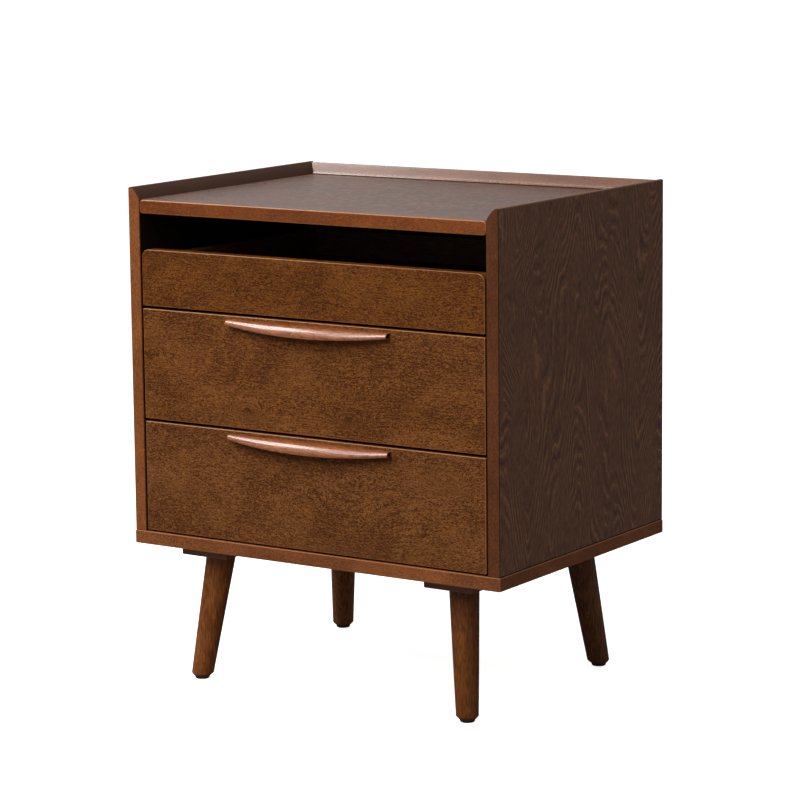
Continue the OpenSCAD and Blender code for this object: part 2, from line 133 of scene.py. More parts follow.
def finish_table(faces, around):
    """An empty table of which finish each face wears, and a view of its quads as ring by segment."""
    finish = np.full(len(faces), FACE)
    return finish, finish[:-2].reshape(-1, around)


def signed_volume(points, faces):
    """Sum of a . (b x c) / 6 over each face's fan of triangles, positive if the faces point outwards."""
    total = 0.0
    for k in range(1, max(map(len, faces)) - 1):
        a, b, c = np.array([(f[0], f[k], f[k + 1]) for f in faces if len(f) > k + 1]).T
        total += np.einsum("ij,ij->", points[a], np.cross(points[b], points[c]))
    return total / 6


def make_piece(name, points, faces, wear_light_mask, normals=None, crease=35.0, finish=None):
    """A mesh object from arrays, with its faces turned outwards and its mask of edge wear and painted light
    kept as an attribute.
    """
    points = np.asarray(points, float).reshape(-1, 3)
    if signed_volume(points, faces) < 0:
        faces = [f[::-1] for f in faces]
    mesh = bpy.data.meshes.new(name)
    mesh.from_pydata(points.tolist(), [], faces)
    wear_and_painted_light = mesh.attributes.new("edge_wear_and_painted_light", "FLOAT", "POINT")
    wear_and_painted_light.data.foreach_set("value", np.asarray(wear_light_mask, np.float32).reshape(-1))
    mesh.polygons.foreach_set("use_smooth", np.ones(len(faces), bool))
    if finish is not None:
        mesh.polygons.foreach_set("material_index", np.asarray(finish, np.int32))
    if normals is not None:
        mesh.normals_split_custom_set_from_vertices(np.asarray(normals, float).reshape(-1, 3).tolist())
    else:
        mesh.set_sharp_from_angle(angle=math.radians(crease))
    mesh.update()
    return in_scene(name, mesh)


def in_scene(name, data):
    """A new object in the scene that shows a mesh, light or camera."""
    made = bpy.data.objects.new(name, data)
    bpy.context.scene.collection.objects.link(made)
    return made


def carried_board(name, outline, axis, start, end, edge, steps=5, front_band=False, sides=()):
    """A board: a closed outline carried straight along an axis, with both ends rounded over.

    At angle t of an end's quarter round the outline is drawn in by edge (1 - cos t) and stands
    edge (1 - sin t) short of the end, and its normal is the outline's times cos t plus the axis
    times sin t. front_band is for a board whose first end wears the edge band, and sides pairs the
    numbers of outline segments with the finish that they wear.
    """
    across, side, wear_and_painted_light = outline
    t = np.linspace(QUARTER, 0, steps)
    tilt = np.concatenate([t, t[::-1]])
    way = np.repeat([-1.0, 1.0], steps)
    inset, short = edge * (1 - np.cos(tilt)), edge * (1 - np.sin(tilt))
    along = np.where(way < 0, start + short, end - short)
    rings = across[None] - side[None] * inset[:, None, None]
    points = in_space(axis, rings, along[:, None])
    normals = in_space(axis, side[None] * np.cos(tilt)[:, None, None], (way * np.sin(tilt))[:, None])
    wear_light_mask = np.maximum(wear_and_painted_light[None] * np.cos(tilt)[:, None], hump(tilt / QUARTER)[:, None])
    faces = stacked_faces(len(along), len(across))
    finish, quads = finish_table(faces, len(across))
    for segments, of_side in sides:
        quads[:, segments] = of_side
    if front_band:
        quads[:steps - 1] = finish[-2] = BAND
    return make_piece(name, points, faces, wear_light_mask, normals, finish=finish)


def plain_board(node, axis, corner, edge):
    """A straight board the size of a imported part, with all its edges rounded."""
    low, high = box(node)
    a, b, c = PLANES[axis]
    outline = rounded_outline(rectangle(low[[a, b]], high[[a, b]]), corner, 1)
    return carried_board(node, outline, axis, low[c], high[c], edge)


def rim_bevel(foot, tip):
    """Two corners that round the rim's bevel: where the end tangents of its arc meet, and its tip.

    The tangents meet at the middle of the chord from foot to tip, plus twice the bulge square to it.
    """
    foot, tip = np.array(foot), np.array(tip)
    chord = (tip - foot) / np.linalg.norm(tip - foot)
    return tuple((foot + tip) / 2 + 2 * RIM_BULGE * np.array([-chord[1], chord[0]])), tuple(tip)


# ---------------------------------------------------------------- finishes

# How a stain's colour falls and rises with the tone of the wood, as factors on red, green and blue
STAIN_STEPS = ((0.0, (0.42, 0.33, 0.27)), (0.30, (0.68, 0.63, 0.58)), (0.52, (1, 1, 1)),
               (0.74, (1.34, 1.42, 1.5)), (1.0, (1.9, 2.15, 2.4)))


class Finish:
    """One procedural material and short ways to add its nodes."""

    def __init__(self, name):
        self.material = bpy.data.materials.new(name)
        self.material.use_nodes = True
        self.tree = self.material.node_tree
        self.shader = self.tree.nodes["Principled BSDF"]

    def put(self, socket, value):
        """Links a socket to another node's output, or sets it to a number or colour."""
        if isinstance(value, bpy.types.NodeSocket):
            self.tree.links.new(value, socket)
        else:
            socket.default_value = value

    def node(self, kind, inputs=(), **settings):
        made = self.tree.nodes.new("ShaderNode" + kind)
        for key, value in settings.items():
            setattr(made, key, value)
        for key, value in dict(inputs).items():
            self.put(made.inputs[key], value)
        return made

    def math(self, operation, a, b=0.0, c=0.0, clamp=False):
        return self.node("Math", {0: a, 1: b, 2: c}, operation=operation, use_clamp=clamp).outputs[0]

    def vector(self, operation, a, b):
        return self.node("VectorMath", {0: a, 1: b}, operation=operation).outputs[0]

    def parts(self, vector):
        return self.node("SeparateXYZ", {0: vector}).outputs

    def noise(self, place, stretch, detail=2.0, rough=0.5, bend=0.0, output="Fac"):
        """Noise with so many lumps to the metre along each axis."""
        made = self.node("TexNoise", {"Vector": self.vector("MULTIPLY", place, stretch), "Scale": 1.0,
                                      "Detail": detail, "Roughness": rough, "Distortion": bend})
        return made.outputs[output]

    def levels(self, value, low, high, out_low=0.0, out_high=1.0, smooth=False):
        """Maps low to high onto out_low to out_high and holds it there beyond them."""
        made = self.node("MapRange", {0: value, 1: low, 2: high, 3: out_low, 4: out_high})
        made.interpolation_type = "SMOOTHSTEP" if smooth else "LINEAR"
        return made.outputs[0]

    def hill(self, squared, steep=1.0):
        """exp(-steep x squared): one at the middle, falling away with the squared distance."""
        return self.math("EXPONENT", self.math("MULTIPLY", squared, -steep))

    def ramp(self, value, stops):
        """Colours at rising places from 0 to 1, eased from each to the next."""
        made = self.node("ValToRGB", {0: value})
        made.color_ramp.interpolation = "EASE"
        first, *between, last = stops
        for stop, (place, colour) in zip(made.color_ramp.elements, (first, last)):
            stop.position, stop.color = place, (*colour, 1.0)
        for place, colour in between:
            made.color_ramp.elements.new(place).color = (*colour, 1.0)
        return made.outputs[0]

    def mix(self, share, a, colour):
        """A colour socket, and a share of one plain colour over it."""
        made = self.node("Mix", data_type="RGBA")
        for index, value in ((0, share), (6, a), (7, (*colour, 1.0))):
            self.put(made.inputs[index], value)
        return made.outputs[2]

    def grain_place(self, grain, offset=(0, 0, 0)):
        """Object coordinates with the first axis along the grain, shifted so that no two boards match."""
        place = self.node("TexCoord").outputs["Object"]
        if grain != "x":
            parts = self.parts(place)
            order = {"y": (1, 0, 2), "z": (2, 1, 0)}[grain]
            place = self.node("CombineXYZ", {k: parts[order[k]] for k in range(3)}).outputs[0]
        return self.node("Mapping", {"Vector": place, "Location": offset}).outputs[0]

    def finish_surface(self, colour, roughness, height, depth, **shader):
        """Joins colour, roughness and a bump height to the shader, and sets the other sockets named."""
        bump = self.node("Bump", {"Strength": 1.0, "Distance": depth, "Height": height})
        shader.update(base_color=colour, roughness=roughness, normal=bump.outputs["Normal"])
        for key, value in shader.items():
            self.put(self.shader.inputs[key.replace("_", " ").title().replace("Ior", "IOR")], value)
        return self.material


def scaled(colour, k):
    """A colour times one number, or times three."""
    return tuple(c * m for c, m in zip(colour, np.broadcast_to(k, 3).tolist()))


def knot_hills(f, along, across, knots):
    """What the knots do to the wood: the lift of the growth lines, the dark cores, and how near a knot is.

    With q the squared distance from a knot, in its lengths along and its widths across the grain,
    its hill is exp(-q), its core exp(-9 q), and the nearness exp(-0.22 q).
    """
    lift = core = near = 0.0
    for knot_along, knot_across, length, width, height, dark in knots:
        u = f.math("DIVIDE", f.math("SUBTRACT", along, knot_along), length)
        v = f.math("DIVIDE", f.math("SUBTRACT", across, knot_across), width)
        q = f.math("MULTIPLY_ADD", u, u, f.math("MULTIPLY", v, v))
        lift = f.math("MULTIPLY_ADD", f.hill(q), height, lift)
        core = f.math("MULTIPLY_ADD", f.hill(q, 9.0), dark, core)
        near = f.math("MAXIMUM", near, f.hill(q, 0.22))
    return lift, core, near


def flame_field(f, place, along, across, slow, flames):
    """A field whose contours are the tall arches of flat-sawn veneer.

    It rises by 0.42 of the way along the grain, wanders with the slow noise and a fine wiggle, and
    is raised by reach x exp(-(gap / width)^2) at a gap from the middle of each flame.
    """
    wiggle = f.noise(place, (60, 170, 170), 3.0, 0.65)
    field = f.math("MULTIPLY_ADD", wiggle, 0.009, f.math("MULTIPLY", along, 0.42))
    field = f.math("MULTIPLY_ADD", slow, 0.11, field)
    drift = f.math("MULTIPLY_ADD", f.noise(place, (4, 7, 7), 1.0), 0.10, -0.05)
    for middle, width, reach in flames:
        gap = f.math("DIVIDE", f.math("SUBTRACT", f.math("ADD", across, drift), middle), width)
        field = f.math("MULTIPLY_ADD", f.hill(f.math("MULTIPLY", gap, gap)), reach, field)
    return field


def stained_wood(name, colour, grain="x", offset=(0, 0, 0), flecks=1.0, fleck_size=(360, 1250), curl=0.0,
                 blotches=1.0, bands=0.0, figure=1.0, lines=220.0, swell=14.0, wander=0.05, knots=(),
                 flames=(), light_lines=0.0, wear_and_painted_light=2.0, polish=0.0, roughness=0.42, open_grain=0.08,
                 shine=0.5, coat=0.0, coat_roughness=0.3, depth=0.06 * MM):
    """Stained birch under satin lacquer.

    Growth lines are the contours of a slow field: the distance across the grain, bent by long soft
    waves, lifted round each knot and drawn out into flames. On them lie short fine flecks, longer
    streaks and cloudy patches where the stain took unevenly. Rounded edges take a factor on the
    colour: rubbed wear with a painted highlight where it lightens, painted shade where it darkens.
    The tone is 0.5 plus the sum of amount x (layer - 0.5), and the stain's colour follows it.

    fleck_size: flecks to the metre along and across the grain, and curl winds them. bands: slanting
    cloudy bands. figure: strength of dark lines, or light_lines of light ones with dark beside
    them. lines: growth lines to the metre. swell, wander: size and reach of the slow waves.
    knots: (along, across, length, width, lift, dark core). flames: (across, width, reach).
    wear_and_painted_light: the colour's factor on rounded edges, rubbed wear and a painted highlight
    above 1 and painted shade below 1, and polish the coat on rounded edges. open_grain: how much
    rougher the flecks are than the rest. depth: bump height of the grain.
    """
    f = Finish(name)
    face_axis = 2 if grain == "x" else 1        # the part of the place that runs across a board's face
    place = f.grain_place(grain, offset)
    here = f.parts(f.grain_place(grain))
    along, across = here[0], here[face_axis]

    # Growth lines, from the bent place
    bend = f.vector("SUBTRACT", f.noise(place, (8, 24, 24), output="Color"), (0.5, 0.5, 0.5))
    bent = f.vector("ADD", place, f.vector("MULTIPLY", bend, (0.03, 0.022, 0.022)))
    lift, core, near = knot_hills(f, along, across, knots)
    if knots:
        bent = f.vector("ADD", bent, f.node("CombineXYZ", {1: lift, 2: lift}).outputs[0])
    slow = f.noise(bent, (swell / 4, swell, swell))
    if flames:
        field = flame_field(f, place, along, across, slow, flames)
    else:
        field = f.math("MULTIPLY_ADD", slow, wander, f.parts(bent)[face_axis])
    wave = f.math("SINE", f.math("MULTIPLY", field, lines * 2 * math.pi))
    patchy = f.levels(f.noise(place, (22, 60, 60), 3.0, 0.6), 0.40, 0.62, smooth=True)
    if knots:
        patchy = f.math("MAXIMUM", f.math("MULTIPLY", patchy, 0.6), f.math("MULTIPLY", near, 1.3))
    line = f.levels(wave, 0.62 if light_lines else 0.4, 1.0, smooth=True)
    line = f.math("MULTIPLY", line, patchy)

    # Flecks, streaks, clouds and haze, each from 0 to 1
    fleck_along, fleck_across = fleck_size
    fleck = f.noise(bent, (fleck_along, fleck_across, fleck_across), 2.0, 0.62, curl)
    fleck = f.levels(fleck, 0.33, 0.67)
    streak = f.levels(f.noise(bent, (60, 420, 420), 2.0, 0.6), 0.3, 0.7)
    cloud = f.levels(f.noise(place, (9, 17, 17), 3.0, 0.55, 0.4), 0.30, 0.72, smooth=True)
    if bands:
        slanting = f.node("Mapping", {"Vector": place, "Rotation": (0, 0.9, 0)}).outputs[0]
        band = f.levels(f.noise(slanting, (14, 14, 46), 2.0, 0.5, 0.6), 0.46, 0.68, smooth=True)
        cloud = f.math("MULTIPLY_ADD", band, bands, cloud)
    haze = f.levels(f.noise(place, (38, 60, 60), 2.0, 0.6), 0.25, 0.75)

    # Colour: the layers make the tone, and the rounded edges are rubbed, with painted highlight and painted
    # shade
    tone = 0.5
    for layer, amount in ((fleck, 1.45 * flecks), (streak, 0.30 * flecks),
                          (cloud, 0.30 * blotches), (haze, 0.16 * blotches)):
        tone = f.math("ADD", tone, f.math("MULTIPLY_ADD", layer, amount, -amount / 2))
    tone = f.math("MULTIPLY_ADD", line, 0.30 * (light_lines or -figure), tone)
    if light_lines:
        beside = f.math("MULTIPLY", f.levels(wave, -0.6, -1.0), patchy)
        tone = f.math("MULTIPLY_ADD", beside, -0.25 * light_lines, tone)
    tone = f.math("SUBTRACT", tone, core)
    shade = f.ramp(tone, [(place_on_ramp, scaled(colour, k)) for place_on_ramp, k in STAIN_STEPS])
    wear_light_mask = f.node("Attribute", attribute_name="edge_wear_and_painted_light").outputs["Fac"]
    rubbed_and_painted_light = f.math("MULTIPLY", wear_light_mask, f.levels(fleck, 0.0, 1.0, 0.6, 1.0))
    # Rounded edges get the colour times the edge factor: rubbed wear, painted highlight where it lightens,
    # painted shade where it darkens
    shade = f.mix(rubbed_and_painted_light, shade, scaled(colour, wear_and_painted_light))

    # Relief and gloss
    height = f.math("MULTIPLY", fleck, 0.6)
    height = f.math("MULTIPLY_ADD", line, -0.35 * figure + 0.4 * light_lines, height)
    rough = f.math("MULTIPLY_ADD", fleck, open_grain, roughness - open_grain / 2)
    rough = f.math("MULTIPLY_ADD", haze, 0.05, rough)
    if polish:
        coat = f.math("MULTIPLY", wear_light_mask, polish, clamp=True)
    return f.finish_surface(shade, rough, height, depth, coat_weight=coat, coat_roughness=coat_roughness,
                            specular_ior_level=shine)


def beech(name):
    """Pale plain beech: short dark flecks along each dowel."""
    f = Finish(name)
    fleck = f.levels(f.noise(f.grain_place("x"), (300, 900, 900), 3.0, 0.6), 0.35, 0.65, smooth=True)
    shade = f.ramp(fleck, [(0.0, (0.42, 0.27, 0.15)), (1.0, (0.62, 0.45, 0.28))])
    return f.finish_surface(shade, f.levels(fleck, 0.0, 1.0, 0.6, 0.72), fleck, 0.03 * MM)


def plated_steel(name, colour, along, roughness):
    """Zinc-plated steel: rolling lines along one axis and a faint cloudy bloom in the plating."""
    f = Finish(name)
    place = f.grain_place(along)
    rolled = f.noise(place, (25, 2600, 2600), 2.0, 0.6)
    bloom = f.levels(f.noise(place, (45, 60, 60), 3.0, 0.6), 0.3, 0.7)
    tone = f.math("MULTIPLY_ADD", rolled, 0.5, f.math("MULTIPLY", bloom, 0.5))
    shade = f.ramp(tone, [(0.2, scaled(colour, 0.72)), (0.8, scaled(colour, 1.12))])
    rough = f.math("ADD", f.levels(rolled, 0.2, 0.8, roughness - 0.06, roughness + 0.06),
                   f.levels(bloom, 0.0, 1.0, -0.04, 0.06))
    return f.finish_surface(shade, rough, rolled, 0.02 * MM, metallic=1.0)


def moulded_plastic(name):
    """Black moulded plastic: a fine even grit with scuffs where it slides on the floor."""
    f = Finish(name)
    place = f.grain_place("x")
    grit = f.noise(place, (2200, 2200, 2200), 2.0, 0.6)
    scuff = f.levels(f.noise(place, (160, 420, 160), 3.0, 0.6), 0.5, 0.72, smooth=True)
    shade = f.ramp(scuff, [(0.0, (0.012, 0.011, 0.011)), (1.0, (0.045, 0.042, 0.04))])
    return f.finish_surface(shade, f.levels(grit, 0.2, 0.8, 0.45, 0.6), grit, 0.03 * MM)


SAWN = (60, 620)        # the longer flecks of sawn and rotary-cut wood


def plywood(name, colour):
    """Thin stained plywood: open rotary-cut grain and darker pores under a thin matt sealer."""
    return stained_wood(name, colour, "x", (0.9, 0.31, 0.2), flecks=0.42, fleck_size=SAWN, blotches=0.8,
                        figure=0.7, lines=120.0, wander=0.12, roughness=0.6, shine=0.3, depth=0.09 * MM)


# ---------------------------------------------------------------- pieces

def dress(piece, body, slot, finishes, *nodes):
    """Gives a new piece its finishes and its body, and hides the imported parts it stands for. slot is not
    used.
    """
    for finish in finishes:
        piece.data.materials.append(finish)
    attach(piece, body)
    if nodes:
        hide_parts(*nodes)


def side_board(side):
    """A cabinet side: its outline, with the bulging bevel of the rim, carried from front to back.

    The left one has the right one's outline mirrored, so its corners come in the other order. The
    inner face and the rounding over the shadow gap above the base board wear painted shade.
    """
    node = f"{side}_side_panel"
    low, high = box(node)
    inner, outer = (low[0], high[0]) if side == "right" else (-high[0], -low[0])
    surface = box("top_panel")[1][2]
    meet, tip = rim_bevel((inner, surface), (outer - RIM_LIP, high[2]))
    corners = [(inner, low[2]), (outer, low[2]), (outer, high[2]), tip, meet, (inner, surface)]
    radii = np.array([0.6, 1.3, 1.7, 1.1, 34.0, 0.6]) * MM
    wear_and_painted_light = [0, 0, 1, 1, 0, 0]
    gap_corner, bevel_corner = 1, 4
    if side == "left":
        corners, radii, wear_and_painted_light = [(-x, z) for x, z in corners[::-1]], radii[::-1], wear_and_painted_light[::-1]
        gap_corner, bevel_corner = bevel_corner, gap_corner
    sides = (([-1], PAINTED_SHADE), (arc_segments(bevel_corner, 1), BEVEL), (arc_segments(gap_corner)[1:], PAINTED_SHADE))
    return carried_board(node, rounded_outline(corners, radii, wear_and_painted_light), "y", low[1], high[1], 0.8 * MM,
                         front_band=True, sides=sides)


def top_board():
    """The top: a rounded rectangle carried backwards, whose corners are rounder at the front edge.

    The corner radius is 4 mm over the front's quarter round, and behind it falls to 0.7 mm.
    """
    low, high = box("top_panel")
    edge, steps = 1.3 * MM, 6
    t = np.linspace(QUARTER, 0, steps)
    plain = np.zeros(3)
    tilt = np.concatenate([t, plain])
    inset = np.concatenate([edge * (1 - np.cos(t)), plain])
    along = np.concatenate([low[1] + edge * (1 - np.sin(t)), low[1] + np.array([3.5, 7.0]) * MM, [high[1]]])
    radius = np.concatenate([np.full(steps, 4.0), [2.4, 0.7, 0.7]]) * MM
    rings, normals, wear_light_mask = [], [], []
    for k in range(len(along)):
        across, side, wear_and_painted_light = rounded_outline(rectangle(low[[0, 2]], high[[0, 2]]), radius[k], 1)
        rings.append(in_space("y", across - side * inset[k], along[k]))
        normals.append(in_space("y", side * math.cos(tilt[k]), -math.sin(tilt[k])))
        rubbed_and_painted_light = 1.0 if k < steps else 0.25
        wear_light_mask.append(np.maximum(wear_and_painted_light * math.cos(tilt[k]) * rubbed_and_painted_light, hump(tilt[k] / QUARTER)))
    faces = stacked_faces(len(rings), len(rings[0]))
    finish, quads = finish_table(faces, len(rings[0]))
    # The underside over the drawer slot wears painted shade
    underside = ARC - 1
    quads[:, underside] = PAINTED_SHADE
    quads[:steps - 1] = finish[-2] = BAND
    return make_piece("top_panel", np.stack(rings), faces, np.stack(wear_light_mask), np.stack(normals), finish=finish)


def gallery_board():
    """The back rail: an outline with the rim's bevel on its front, carried from side to side.

    Each point of the outline runs to the side boards' inner faces, and above the top surface to
    their bevels: half width = inner face + share of the bevel's width at that height - its bulge.
    An extra point on the back, level with the top surface, is where the ends start to spread.
    """
    low, high = box("gallery_rail")
    surface = box("top_panel")[1][2]
    inner = box("right_side_panel")[0][0]
    meet, tip = rim_bevel((low[1], surface), (high[1] - RIM_LIP, high[2]))
    corners = [(low[1], low[2]), (high[1], low[2]), (high[1], high[2]), tip, meet, (low[1], surface)]
    radii = np.array([0.6, 0.6, 1.6, 1.1, 30.0, 0.6]) * MM
    across, side, wear_and_painted_light = rounded_outline(corners, radii, [0, 1, 1, 1, 0, 0])
    back = 2 * ARC
    across, side, wear_and_painted_light = (np.insert(a, back, extra, axis=0) for a, extra in (
        (across, (high[1], surface)), (side, (1, 0)), (wear_and_painted_light, 0)))
    set_in, tuck, bulge = 0.1 * MM, 0.15 * MM, 0.55 * MM    # of the back, the ends and the side bevels
    across[:, 0] -= set_in * (across[:, 0] > high[1] - 0.3 * MM)
    rise = np.clip((across[:, 1] - surface) / (high[2] - surface), 0, 1)
    half = inner + rise * (high[0] - inner) - bulge * hump(rise) + tuck
    along = np.linspace(-1, 1, 3)
    rings = in_space("x", np.broadcast_to(across, (3,) + across.shape), along[:, None] * half[None])
    normals = in_space("x", np.broadcast_to(side, (3,) + side.shape), np.zeros((3, len(half))))
    faces = stacked_faces(3, len(across))
    finish, quads = finish_table(faces, len(across))
    # The front below the top surface wears painted shade
    quads[:, -1] = PAINTED_SHADE_OF_TWO
    return make_piece("gallery_rail", rings, faces, np.tile(wear_and_painted_light, 3), normals, finish=finish)


def foot_cove():
    """A thin quarter-hollow bead of lacquer along the foot of the rail: a square's corner less a circle.

    The hollow's points are the circle's centre plus r (sin t, -cos t), and its upper end is let
    into the rail.
    """
    low, _ = box("gallery_rail")
    surface = box("top_panel")[1][2]
    half = box("right_side_panel")[0][0] - 0.2 * MM
    r, lip = 2.6 * MM, 0.9 * MM                             # the hollow's radius, and its height over the top
    let_in, below = 0.5 * MM, 0.2 * MM                      # how far it goes into the rail and into the top
    t = np.linspace(0, QUARTER, 9)
    hollow = np.stack([low[1] - r + r * np.sin(t), surface + lip + r - r * np.cos(t)], axis=1)
    hollow[-1, 0] += let_in / 2
    corner = np.array([[low[1] + let_in, surface + r + lip], [low[1] + let_in, surface - below],
                       [low[1] - r, surface - below]])
    ring = np.concatenate([hollow, corner])
    rings = in_space("x", np.broadcast_to(ring, (2,) + ring.shape), np.array([[-half], [half]]))
    faces = stacked_faces(2, len(ring))
    finish, quads = finish_table(faces, len(ring))
    # The bead's front lip wears painted shade, the dark line along its foot
    quads[:, -1] = PAINTED_SHADE_OF_TWO
    return make_piece("gallery_foot_cove", rings, faces, np.zeros(rings.shape[:2]), finish=finish)


def drawer_face(level):
    """A drawer front: a rectangle with rounded corners, carried through its thickness.

    The top drawer's upper corners have a large radius, which is drawn with twice the points.
    """
    low, high = box(f"{level}_drawer_front")
    small, large = 1.1 * MM, 9 * MM
    upper, steps = (large, 2 * ARC) if level == "top" else (small, ARC)
    corners = rectangle(low[[0, 2]], high[[0, 2]])
    across, side, wear_and_painted_light = rounded_outline(corners, [small, small, upper, upper], 1, steps)
    flat = np.abs(side).max(1) > 0.999
    outline = (across, side, np.where(flat, 0, wear_and_painted_light) * 0.8)
    return carried_board(f"{level}_drawer_front", outline, "y", low[1], high[1], 0.95 * MM, steps=6)


def tapered_leg(corner):
    """A round leg that tapers along its splayed axis, cut level at its block and at its foot.

    The straight lines of the cone are P = A + s a + (R - k s) e(angle), with e square to the axis a,
    and each is cut where its height is that of the block or of the foot. The last millimetres turn
    in by the chamfer.
    """
    r_top, r_foot, glide, chamfer = 16.5 * MM, 12.25 * MM, 3.5 * MM, 3 * MM
    splay = np.array([15.5, 20.0]) * MM
    block_low, block_high = box(f"leg_block_{corner}")
    centre = (block_low + block_high)[:2] / 2
    top = np.array([*centre, box(f"leg_{corner}")[1][2]])
    foot = np.array([*(centre + CORNERS[corner] * splay), glide])
    length = np.linalg.norm(foot - top)
    axis = (foot - top) / length
    taper = (r_top - r_foot) / length
    e1 = np.cross(axis, [0, 1, 0])
    e1 /= np.linalg.norm(e1)
    e2 = np.cross(axis, e1)
    angle = np.linspace(0, 2 * math.pi, 72, endpoint=False)
    e = np.cos(angle)[:, None] * e1 + np.sin(angle)[:, None] * e2

    def cut(height, inward=0.0):
        """The cone's ring at a height, drawn in towards its middle and kept level."""
        s = (height - top[2] - r_top * e[:, 2]) / (axis[2] - taper * e[:, 2])
        ring = top + s[:, None] * axis + (r_top - taper * s)[:, None] * e
        if inward:
            out = ring - ring.mean(0)
            ring = ring - inward * out / np.linalg.norm(out, axis=1, keepdims=True)
            ring[:, 2] = height
        return ring

    start = glide + chamfer
    rings = [cut(top[2])] + [cut(z) for z in np.linspace(top[2] - 8 * MM, start + 0.8 * MM, 6)]
    rings += [cut(start, 0.15 * MM), cut(start - 0.7 * MM, 0.8 * MM), cut(glide, chamfer)]
    wear_light_mask = np.zeros((len(rings), len(angle)))
    wear_light_mask[-3:-1] = 0.5
    faces = stacked_faces(len(rings), len(angle))
    return make_piece(f"leg_{corner}", np.stack(rings), faces, wear_light_mask, crease=30)


def bow_handle(level):
    """A carved bow handle: a hood whose cross-section changes along its length.

    Its reach out from the drawer and its lower edge are arcs of the distance from the middle. The
    section goes along the roof, round the shoulder, down the lip, round its edge, up behind it to
    the underside of the roof and back to the drawer face. Both ends are rounded over like a board's.
    """
    _, high = box(f"{level}_handle")
    face = box(f"{level}_drawer_front")[0][1]
    half = high[0]
    edge, steps = 0.8 * MM, 5
    t = np.linspace(QUARTER, 0, steps)
    short, drawn = edge * (1 - np.sin(t)), edge * (1 - np.cos(t))
    body = np.linspace(-(half - edge), half - edge, 61)[1:-1]
    x = np.concatenate([-half + short, body, (half - short)[::-1]])
    inset = np.concatenate([drawn, np.zeros(len(body)), drawn[::-1]])

    def bow(middle, end):
        """An arc over the length: sqrt(R^2 - x^2) - (R - middle), with R from its middle and end values."""
        sag = middle - end
        radius = (half * half + sag * sag) / (2 * sag)
        return np.sqrt(radius ** 2 - x ** 2) - (radius - middle)

    def arc(cx, cz, r, a0, a1, n):
        """Points of an arc from angle a0 to a1 degrees, for every place along the length."""
        a = np.radians(np.linspace(a0, a1, n))[:, None]
        return np.stack([cx + r * np.cos(a), cz + r * np.sin(a)], axis=-1)

    out, drop = bow(16.97 * MM, 8 * MM), bow(12.3 * MM, 6 * MM)     # reach from the drawer, and height
    roof = np.minimum(7 * MM, drop - 0.12 * MM)                     # depth of the roof's underside
    shoulder = np.minimum(9.5 * MM, drop - 1.6 * MM)                # radius of the shoulder
    toe = out - 1.5 * MM * (drop - shoulder) / (6.3 * MM)           # the lip leans in by this to its edge
    inner = np.maximum(out - 6.5 * MM, 1.2 * MM)                    # reach of the lip's back
    r_toe, r_heel = 1.3 * MM, np.minimum(1.2 * MM, 0.9 * (drop - roof))
    zero = np.zeros_like(x)
    shoulder_points, toe_points = 12, 6
    section = np.concatenate([
        np.stack([zero, zero], axis=-1)[None],
        arc(out - shoulder, -shoulder, shoulder, 90, 0, shoulder_points),
        arc(toe - r_toe, -drop + r_toe, r_toe, -8, -90, toe_points),
        arc(inner + r_heel, -drop + r_heel, r_heel, -90, -180, 5),
        np.stack([inner, -roof], axis=-1)[None],
        np.stack([zero, -roof], axis=-1)[None],
    ]).transpose(1, 0, 2)
    tangent = np.roll(section, -1, axis=1) - np.roll(section, 1, axis=1)
    tangent /= np.maximum(np.linalg.norm(tangent, axis=2, keepdims=True), 1e-9)
    normal = np.stack([-tangent[..., 1], tangent[..., 0]], axis=-1)
    pulled = section - normal * inset[:, None, None]
    pulled[..., 0] = np.maximum(pulled[..., 0], 0)
    along = np.broadcast_to(x[:, None], pulled.shape[:2])
    points = np.stack([along, face - pulled[..., 0], high[2] + pulled[..., 1]], axis=-1)
    wear_light_mask = np.zeros(points.shape[:2])
    wear_light_mask[:, shoulder_points + 2:shoulder_points + toe_points] = 0.35
    faces = stacked_faces(*points.shape[:2])
    finish, _ = finish_table(faces, points.shape[1])
    # The end faces wear near-black wood: painted shade, on end grain that also takes the stain darker
    finish[-2:] = PAINTED_SHADE_OF_TWO
    return make_piece(f"{level}_handle", points, faces, wear_light_mask, crease=38, finish=finish)


# Side boards
# Near-black wood for faces in shade: the slot's inner faces, hidden faces, the shadow gap over the base, the
# bead's lip and the handles' ends; painted shade
painted_shade_wood = stained_wood("painted shade inside", (0.014, 0.006, 0.003), "z", (0.6, 0.3, 0.2), flecks=0.3,
                           blotches=0.5, figure=0.3, wear_and_painted_light=1.0, roughness=0.6, shine=0.2)
# A darker copy of the side wood for the rim's bevels, which face the shade inside the rim: painted shade
shaded_bevel_wood = stained_wood("rim bevel in painted shade", (0.068, 0.0225, 0.0085), "y", (0.1, 0.3, 0.5), flecks=0.2,
                          blotches=0.5, figure=0.2, wear_and_painted_light=1.3, roughness=0.5, shine=0.3)
SIDE_FLAMES = ((-0.125, 0.024, 0.065), (-0.020, 0.026, -0.060), (0.128, 0.034, 0.085))
SIDE_OFFSETS = {"left": (0.37, 0.91, 0.0), "right": (0.0, 0.0, 0.0)}
